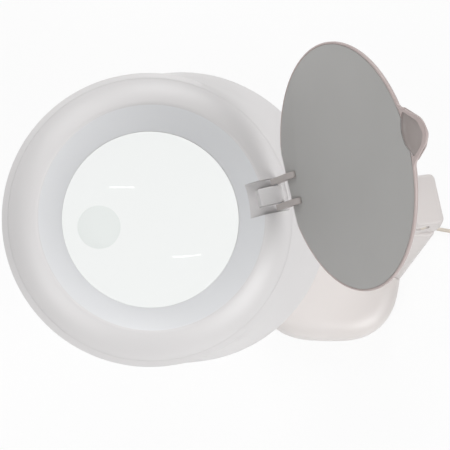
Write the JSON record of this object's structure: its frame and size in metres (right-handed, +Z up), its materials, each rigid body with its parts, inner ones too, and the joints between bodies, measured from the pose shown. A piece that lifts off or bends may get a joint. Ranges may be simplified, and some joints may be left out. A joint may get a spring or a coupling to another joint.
{
  "type": "desk magnifying lamp",
  "caption": "Desk magnifying lamp: round lit lens head with a flip-up cover on a short folding arm, on a weighted pebble base with a column.",
  "frame": {"origin": "middle of the base's underside, on the table", "axes": "+Z up; +X from the head towards the column at the back; +Y to the side"},
  "size_m": [0.4434, 0.2301, 0.3895],
  "materials": {
    "pad": "matt foam",
    "black_plastic": "moulded",
    "iron": "as cast",
    "base_white": "satin moulded",
    "column_white": "satin moulded",
    "head_white": "satin moulded",
    "cover_white": "satin moulded",
    "liner_grey": "fine grain",
    "button_grey": "satin",
    "steel": "plated",
    "bush": "natural acetal",
    "cord_grip": "soft moulded",
    "lead": "soft vinyl",
    "tie": "soft",
    "adapter": "fine grain",
    "lens": "polished",
    "gasket": "soft",
    "board": "white solder mask",
    "led": "clear over phosphor",
    "diffuser": "opal"
  },
  "bodies": {
    "base": {"base_pad": "pad", "base_plate": "black_plastic", "base_weight": "iron", "base_cover": "base_white", "base_screws": "steel", "column_shell": "column_white", "column_screws": "steel", "swivel_bush": "bush", "cord_grip": "cord_grip", "cord_lead": "lead", "cord_coil": "lead", "cord_tail": "lead", "cord_tie": "tie", "adapter_body": "adapter", "adapter_pins": "steel"},
    "swivel": {"swivel_cap": "column_white", "swivel_lid": "column_white", "swivel_stud": "steel", "swivel_washer": "steel", "swivel_nut": "steel", "cap_lead": "lead", "lift_pin": "steel", "lift_knob": "column_white"},
    "arm": {"arm_left": "column_white", "arm_right": "column_white", "arm_spine": "steel", "arm_screws": "steel", "arm_washers": "bush"},
    "yoke": {"head_yoke": "column_white", "roll_nut": "steel", "tilt_pin": "steel", "tilt_knob": "column_white"},
    "head": {"head_ring": "head_white", "lens_bezel": "head_white", "head_housing": "head_white", "main_lens": "lens", "inset_lens": "lens", "lens_gasket": "gasket", "led_board": "board", "leds": "led", "diffuser": "diffuser", "driver_board": "board", "head_screws": "steel", "hinge_block": "head_white", "hinge_screws": "steel", "switch_body": "black_plastic"},
    "button": {"power_button": "button_grey"},
    "cover": {"cover_shell": "cover_white", "cover_liner": "liner_grey", "hinge_pin": "steel"}
  },
  "joints": [
    {"name": "swivel_turn", "type": "hinge", "parent": "base", "child": "swivel", "pos_m": [0.0468, 0, 0.107], "axis": [0, 0, 1], "range_deg": [-110, 90]},
    {"name": "arm_lift", "type": "hinge", "parent": "swivel", "child": "arm", "pos_m": [0.03006, -0.00297, 0.1205], "axis": [-0.1747, 0.9846, 0], "range_deg": [-25, 32]},
    {"name": "head_tilt", "type": "hinge", "parent": "arm", "child": "yoke", "pos_m": [-0.01742, -0.01139, 0.18027], "axis": [0.1747, -0.9846, 0], "range_deg": [-40, 40]},
    {"name": "head_roll", "type": "hinge", "parent": "yoke", "child": "head", "pos_m": [-0.04282, -0.0159, 0.17955], "axis": [0.9842, 0.1746, 0.0279], "range_deg": [-70, 50]},
    {"name": "cover_hinge", "type": "hinge", "parent": "head", "child": "cover", "pos_m": [-0.07451, -0.02437, 0.21087], "axis": [-0.2433, 0.9538, 0.1764], "range_deg": [-106, 15]},
    {"name": "button_press", "type": "slide", "parent": "head", "child": "button", "axis": [-0.5403, -0.1151, -0.8336], "range_m": [0, 0.0009], "stiffness_N_per_m": 400, "springref_m": -0.0015}
  ]
}
